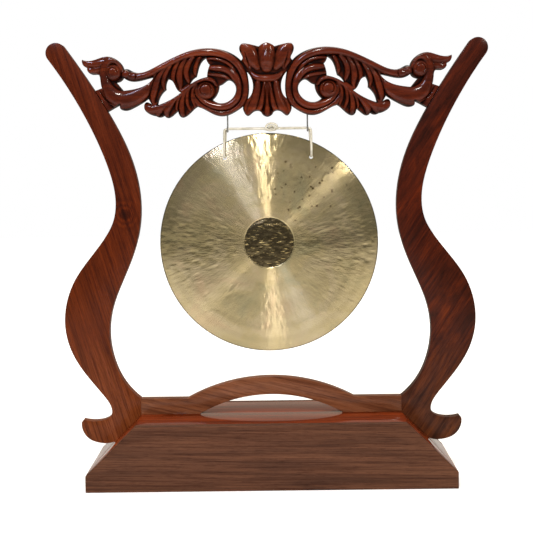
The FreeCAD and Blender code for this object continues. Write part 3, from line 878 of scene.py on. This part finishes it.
def boss_marks(points):
    """Rough beating on the middle, which is left as forged."""
    rng = np.random.default_rng(HAMMER_SEED + 1)
    radius = np.hypot(points[:, 0], points[:, 1])
    depth = np.zeros(len(points))
    for _ in range(BOSS_BLOWS):
        x0, z0 = rng.uniform(-GONG_BOSS, GONG_BOSS, 2)
        length, width = rng.uniform(2.2, 4.6), rng.uniform(1.0, 1.9)
        tilt = rng.normal(0, 0.35)
        dx, dz = points[:, 0] - x0, points[:, 1] - z0
        u = (dx * math.cos(tilt) + dz * math.sin(tilt)) / length
        v = (-dx * math.sin(tilt) + dz * math.cos(tilt)) / width
        depth += rng.uniform(0.1, 0.34) * np.exp(-0.5 * (u * u + v * v))
    return depth * np.clip((GONG_BOSS - radius) / 2.5, 0, 1)


def polar_place(tree):
    """(distance from the gong's axis, unit direction from it) for a shader, in metres."""
    middle = vector_maths(tree, "SUBTRACT", object_place(tree), GONG_CENTRE)["Vector"]
    flat = vector_maths(tree, "MULTIPLY", middle, (1.0, 0.0, 1.0))["Vector"]
    length = vector_maths(tree, "LENGTH", flat)["Value"]
    unit = vector_maths(tree, "NORMALIZE", flat)["Vector"]
    return length, unit


def radial_noise(tree, radius, unit, around, outward, detail, roughness):
    """Noise with so many features per turn, and so many along each metre outward."""
    spread = around / (2 * math.pi)
    x, _, z = separated(tree, vector_maths(tree, "MULTIPLY", unit, (spread, spread, spread))["Vector"])
    join = tree.nodes.new("ShaderNodeCombineXYZ")
    tree.links.new(x, join.inputs["X"])
    tree.links.new(maths(tree, "MULTIPLY", radius, outward), join.inputs["Y"])
    tree.links.new(z, join.inputs["Z"])
    return noise_at(tree, join.outputs[0], detail, roughness)


def ring_noise(tree, radius, per_metre, detail):
    noise = tree.nodes.new("ShaderNodeTexNoise")
    noise.noise_dimensions = "1D"
    noise.inputs["Scale"].default_value = per_metre
    noise.inputs["Detail"].default_value = detail
    tree.links.new(radius, noise.inputs["W"])
    return noise.outputs["Fac"]


def pit_mask(tree):
    """1 in the small dark pits of the casting, 0 elsewhere. They cluster above and right of the middle."""
    place = object_place(tree)
    cells = tree.nodes.new("ShaderNodeTexVoronoi")
    cells.inputs["Scale"].default_value = 140.0
    tree.links.new(place, cells.inputs["Vector"])
    away = vector_maths(tree, "DISTANCE", place, PIT_CLUSTER)["Value"]
    spot = map_range(tree, cells.outputs["Distance"], (0.2, 0.3), (1.0, 0.0))
    near = map_range(tree, away, (0.045, 0.07), (1.0, 0.0))
    some = map_range(tree, stretched_noise(tree, (75.0, 75.0, 75.0), 1.0), (0.5, 0.56), (0.0, 1.0))
    return maths(tree, "MULTIPLY", maths(tree, "MULTIPLY", spot, near), some)


def turned_bronze():
    material, shader, tree = new_material("turned_bronze")
    link = tree.links.new
    radius, unit = polar_place(tree)
    tint = stretched_noise(tree, (16.0, 16.0, 16.0), 3.0, 0.6, 0.8)
    base = colour_ramp(tree, [
        (0.3, (0.45, 0.4, 0.23)), (0.45, (0.53, 0.44, 0.24)),
        (0.55, (0.56, 0.47, 0.28)), (0.7, (0.6, 0.46, 0.28)),
    ])
    link(tint, base.inputs["Fac"])
    rings = ring_noise(tree, radius, 900.0, 3.0)
    ring_tints = [(0.35, (0.95, 0.95, 0.95)), (0.65, (1.02, 1.02, 1.02))]
    colour = tinted(tree, base.outputs["Color"], rings, ring_tints)
    wide_rings = ring_noise(tree, radius, 60.0, 1.0)
    colour = tinted(tree, colour, wide_rings, [(0.4, (0.93, 0.93, 0.92)), (0.6, (1.03, 1.03, 1.03))])
    inner_zone = map_range(tree, radius, (0.055, 0.062), (0.0, 1.0))
    colour = tinted(tree, colour, inner_zone, [(0.0, (1.09, 1.08, 1.06)), (1.0, NO_TINT)])
    colour = tinted(tree, colour, pit_mask(tree), [(0.0, NO_TINT), (1.0, (0.3, 0.24, 0.18))])
    link(colour, shader.inputs["Base Color"])
    dashes = radial_noise(tree, radius, unit, 280.0, 120.0, 1.0, 0.5)
    fine = radial_noise(tree, radius, unit, 1500.0, 300.0, 1.0, 0.6)
    normal = bump(tree, dashes, 0.00007)
    normal = bump(tree, fine, 0.000006, normal)
    link(normal, shader.inputs["Normal"])
    tangent = tree.nodes.new("ShaderNodeTangent")
    tangent.direction_type = "RADIAL"
    tangent.axis = "Y"
    link(tangent.outputs[0], shader.inputs["Tangent"])
    shader.inputs["Metallic"].default_value = 1.0
    link(map_range(tree, rings, (0.3, 0.7), (0.2, 0.23)), shader.inputs["Roughness"])
    shader.inputs["Anisotropic"].default_value = 1.0
    shader.inputs["Anisotropic Rotation"].default_value = 0.25
    return material


def forged_bronze():
    """The dark skin left on the boss and on the rim."""
    material, shader, tree = new_material("forged_bronze")
    link = tree.links.new
    patches = stretched_noise(tree, (90.0, 90.0, 220.0), 4.0, 0.6)
    base = colour_ramp(tree, [
        (0.36, (0.035, 0.026, 0.012)), (0.55, (0.07, 0.054, 0.025)), (0.7, (0.14, 0.112, 0.056)),
    ])
    link(patches, base.inputs["Fac"])
    # Thin bright streaks in the colour are painted glints, standing for the lamps' reflections in the hammer
    # dents
    glint_noise = stretched_noise(tree, (110.0, 110.0, 620.0), 1.0)
    glints = [(0.0, NO_TINT), (0.62, NO_TINT), (0.67, (7.0, 7.0, 6.5))]
    link(tinted(tree, base.outputs["Color"], glint_noise, glints), shader.inputs["Base Color"])
    shader.inputs["Metallic"].default_value = 0.85
    link(map_range(tree, patches, (0.3, 0.7), (0.34, 0.17)), shader.inputs["Roughness"])
    scale = stretched_noise(tree, (260.0, 260.0, 620.0), 2.0)
    link(bump(tree, scale, 0.0002), shader.inputs["Normal"])
    return material


def gong(face_material, boss_material):
    """The disc: a hammered and turned front, a plain back and edge, and two drilled holes."""
    loops = [circle_loop((0, 0), GONG_RADIUS, GONG_RIM_POINTS)]
    loops += [circle_loop(centre, GONG_HOLE_RADIUS, GONG_HOLE_POINTS) for centre in GONG_HOLES]
    distance = distance_field(loops)
    rim_count = sum(len(loop) for loop in loops)
    front, front_faces = filled_sheet(loops, ring_grid(GONG_STEP), GONG_STEP * 0.5, distance)
    back, back_faces = filled_sheet(loops, ring_grid(GONG_BACK_STEP), GONG_BACK_MARGIN, distance)
    half = GONG_THICKNESS / 2
    front_y = dish(np.hypot(*front.T)) - half + hammer_marks(front) + boss_marks(front)
    back_y = dish(np.hypot(*back.T)) + half
    vertices = [(x, y, z) for (x, z), y in zip(front, front_y)]
    rows = [0]
    for inset in (GONG_WALL_INSET, GONG_THICKNESS - GONG_WALL_INSET):
        rows.append(len(vertices))
        vertices += [(x, front_y[i] + inset, z) for i, (x, z) in enumerate(front[:rim_count])]
    rows.append(len(vertices))
    vertices += [(x, y, z) for (x, z), y in zip(back, back_y)]
    faces = [tuple(f) for f in front_faces] + [tuple(rows[-1] + i for i in reversed(f)) for f in back_faces]
    faces += wall_faces(loops, rows)
    mesh = bpy.data.meshes.new("gong_bronze")
    mesh.from_pydata([(x * MM, y * MM, z * MM + GONG_CENTRE.z) for x, y, z in vertices], [], faces)
    tidy_normals(mesh)
    shade(mesh, sharp_angle=40)
    add_piece("gong_bronze", mesh, "gong", face_material, "gong_bronze", "gong_disc")
    mesh.materials.append(boss_material)
    for polygon in mesh.polygons:
        middle = polygon.center / MM
        radius = math.hypot(middle.x, middle.z - GONG_CENTRE.z / MM)
        if radius < GONG_BOSS or radius > GONG_RADIUS - GONG_DARK_RIM:
            polygon.material_index = 1


def wall_faces(loops, rows):
    """Quads that join copies of the loops, each row given by its first vertex."""
    faces = []
    start = 0
    for loop in loops:
        count = len(loop)
        for upper, lower in zip(rows[:-1], rows[1:]):
            for i in range(count):
                a, b = start + i, start + (i + 1) % count
                faces.append((upper + a, lower + a, lower + b, upper + b))
        start += count
    return faces


def tidy_normals(mesh):
    work = bmesh.new()
    work.from_mesh(mesh)
    bmesh.ops.recalc_face_normals(work, faces=work.faces)
    work.to_mesh(mesh)
    work.free()


# ---- the cord and its knot

CORD_RADIUS = 1.6
CORD_STEP = 0.5
CORD_POINTS_ROUND = 18
ANY_DIRECTION = (0.3, 0.5, 0.8)
PLAIT_LOW = 0.93
PLAIT_RISE = 0.07
PLAIT_STRANDS = 3
PLAIT_TURN = 1.9

# (x, y, z) in millimetres, one strand that loops over itself twice
KNOT_ROUTE = [
    (-5.5, -2.2, 488.4), (-1.0, -2.8, 487.0), (5.0, -3.2, 486.2), (11.4, -4.0, 487.2), (13.8, -4.8, 490.6),
    (11.4, -5.2, 494.4), (5.6, -5.4, 496.2), (-0.4, -5.4, 494.4), (-2.8, -5.8, 490.2), (-0.4, -6.8, 486.6),
    (5.0, -7.4, 485.6), (10.2, -7.2, 487.5), (10.4, -6.6, 490.8), (6.4, -5.9, 492.6), (2.0, -5.2, 491.6),
    (1.8, -3.8, 489.0), (6.0, -2.6, 488.5), (15.4, -1.9, 488.6),
]

# The loop's two ends, which both lie in the knot
LOOP_START = (10.5, -1.7, 488.5)
LOOP_END = (-0.5, -1.7, 488.5)

# The right half of the loop: from the knot over the hook, down to the gong, through its hole and up behind
LOOP_ROUTE = [
    (50.0, -1.7, 488.6), (57.6, -1.7, 488.6), (60.1, -1.8, 487.0), (60.4, -2.1, 483.0), (60.6, -2.6, 456.0),
    (60.7, -3.2, 451.4), (60.5, -2.3, 449.3), (60.0, 0.6, 449.3), (59.7, 3.1, 449.3), (59.6, 4.3, 451.4),
    (59.4, 4.6, 457.0), (59.0, 4.8, 470.0), (58.6, 3.6, 480.0), (58.3, 2.2, 486.6), (57.2, 1.8, 489.0),
    (50.0, 1.7, 489.2),
]


def smooth_route(points):
    """Points along the smooth curve that a cord takes past the route's points."""
    curve = bpy.data.curves.new("route", "CURVE")
    curve.dimensions = "3D"
    curve.resolution_u = 12
    line = curve.splines.new("NURBS")
    line.points.add(len(points) - 1)
    for control, place in zip(line.points, points):
        control.co = (*place, 1.0)
    line.order_u = 3
    line.use_endpoint_u = True
    holder = bpy.data.objects.new("route", curve)
    mesh = bpy.data.meshes.new_from_object(holder)
    found = np.array([tuple(v.co) for v in mesh.vertices])
    bpy.data.objects.remove(holder)
    bpy.data.curves.remove(curve)
    bpy.data.meshes.remove(mesh)
    return found


def even_steps(points, step):
    """Points a step apart along the path, and how far along it each one lies."""
    lengths = np.concatenate([[0], np.cumsum(np.linalg.norm(np.diff(points, axis=0), axis=1))])
    at = np.linspace(0, lengths[-1], int(lengths[-1] / step) + 1)
    return np.column_stack([np.interp(at, lengths, points[:, i]) for i in range(3)]), at


def braided(points):
    """Vertices and faces of a braided cord along the points, with closed ends."""
    around = CORD_POINTS_ROUND
    path, lengths = even_steps(points, CORD_STEP)
    tangents = np.gradient(path, axis=0)
    tangents /= np.linalg.norm(tangents, axis=1)[:, None]
    side = np.cross(tangents[0], ANY_DIRECTION)
    vertices, faces = [], []
    angles = 2 * math.pi * np.arange(around) / around
    for centre, tangent, length in zip(path, tangents, lengths):
        side = side - tangent * (side @ tangent)
        side /= np.linalg.norm(side)
        other = np.cross(tangent, side)
        turn = PLAIT_TURN * length
        weave = np.cos(PLAIT_STRANDS * angles + turn) * np.cos(PLAIT_STRANDS * angles - turn)
        radii = CORD_RADIUS * (PLAIT_LOW + PLAIT_RISE * weave)
        outward = np.cos(angles)[:, None] * side + np.sin(angles)[:, None] * other
        vertices += list(centre + radii[:, None] * outward)
    rings = len(path)
    for ring in range(rings - 1):
        for i in range(around):
            a, b = ring * around + i, ring * around + (i + 1) % around
            faces.append((a, b, b + around, a + around))
    faces.append(tuple(range(around - 1, -1, -1)))
    faces.append(tuple(range((rings - 1) * around, rings * around)))
    return vertices, faces


def cord_piece(name, points, material, node):
    vertices, faces = braided(points)
    mesh = bpy.data.meshes.new(name)
    mesh.from_pydata([tuple(v * MM) for v in vertices], [], faces)
    tidy_normals(mesh)
    shade(mesh, sharp_angle=60)
    add_piece(name, mesh, "gong", material, "white_cord", node)


def cord_and_knot(material):
    left_half = [(-x, y, z) for x, y, z in reversed(LOOP_ROUTE)]
    loop = [LOOP_START] + LOOP_ROUTE + left_half + [LOOP_END]
    cord_piece("cord_loop", smooth_route(loop), material, "hanging_cord")
    cord_piece("cord_knot_wraps", smooth_route(KNOT_ROUTE), material, "cord_knot")


# ---- assembly

def build():
    bpy.context.scene.view_settings.view_transform = "Standard"
    add_camera()
    add_lights()
    add_world()
    add_floor()

    softened("post_left", rosewood("left_post_rosewood", *LEFT_POST_WOOD), "frame_rosewood", 1.2)
    softened("post_right", rosewood("right_post_rosewood", *RIGHT_POST_WOOD), "frame_rosewood", 1.2)
    softened("stretcher", rosewood("rail_rosewood", *RAIL_WOOD), "frame_rosewood", 0.5)
    softened("base_top_board", polished_rosewood("top_rosewood", 0), "polished_rosewood", 0.3, 2)
    slope = polished_rosewood("slope_rosewood", 1)
    for node in ("base_slope_left", "base_slope_right", "base_end_left", "base_end_right"):
        softened(node, slope, "polished_rosewood", 0.3, 2)
    plinth = rosewood("plinth_rosewood", *PLINTH_WOOD)
    for node in ("base_front_board", "base_back_board"):
        softened(node, plinth, "plinth_rosewood", 0.8)
    carved_crest(rosewood("carved_rosewood", *CARVED_WOOD, paints_carving_shade=True))
    gong(turned_bronze(), forged_bronze())
    cord_and_knot(white_cord())

    finishes = {
        plain_wood(): ("glue_blocks", "crest_dowels", "stretcher_dowels"),
        plain_steel(): ("hook_left", "hook_right", "post_screws", "stretcher_screws"),
    }
    for material, nodes in finishes.items():
        for node in nodes:
            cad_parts[node].material_slots[0].material = material


build()
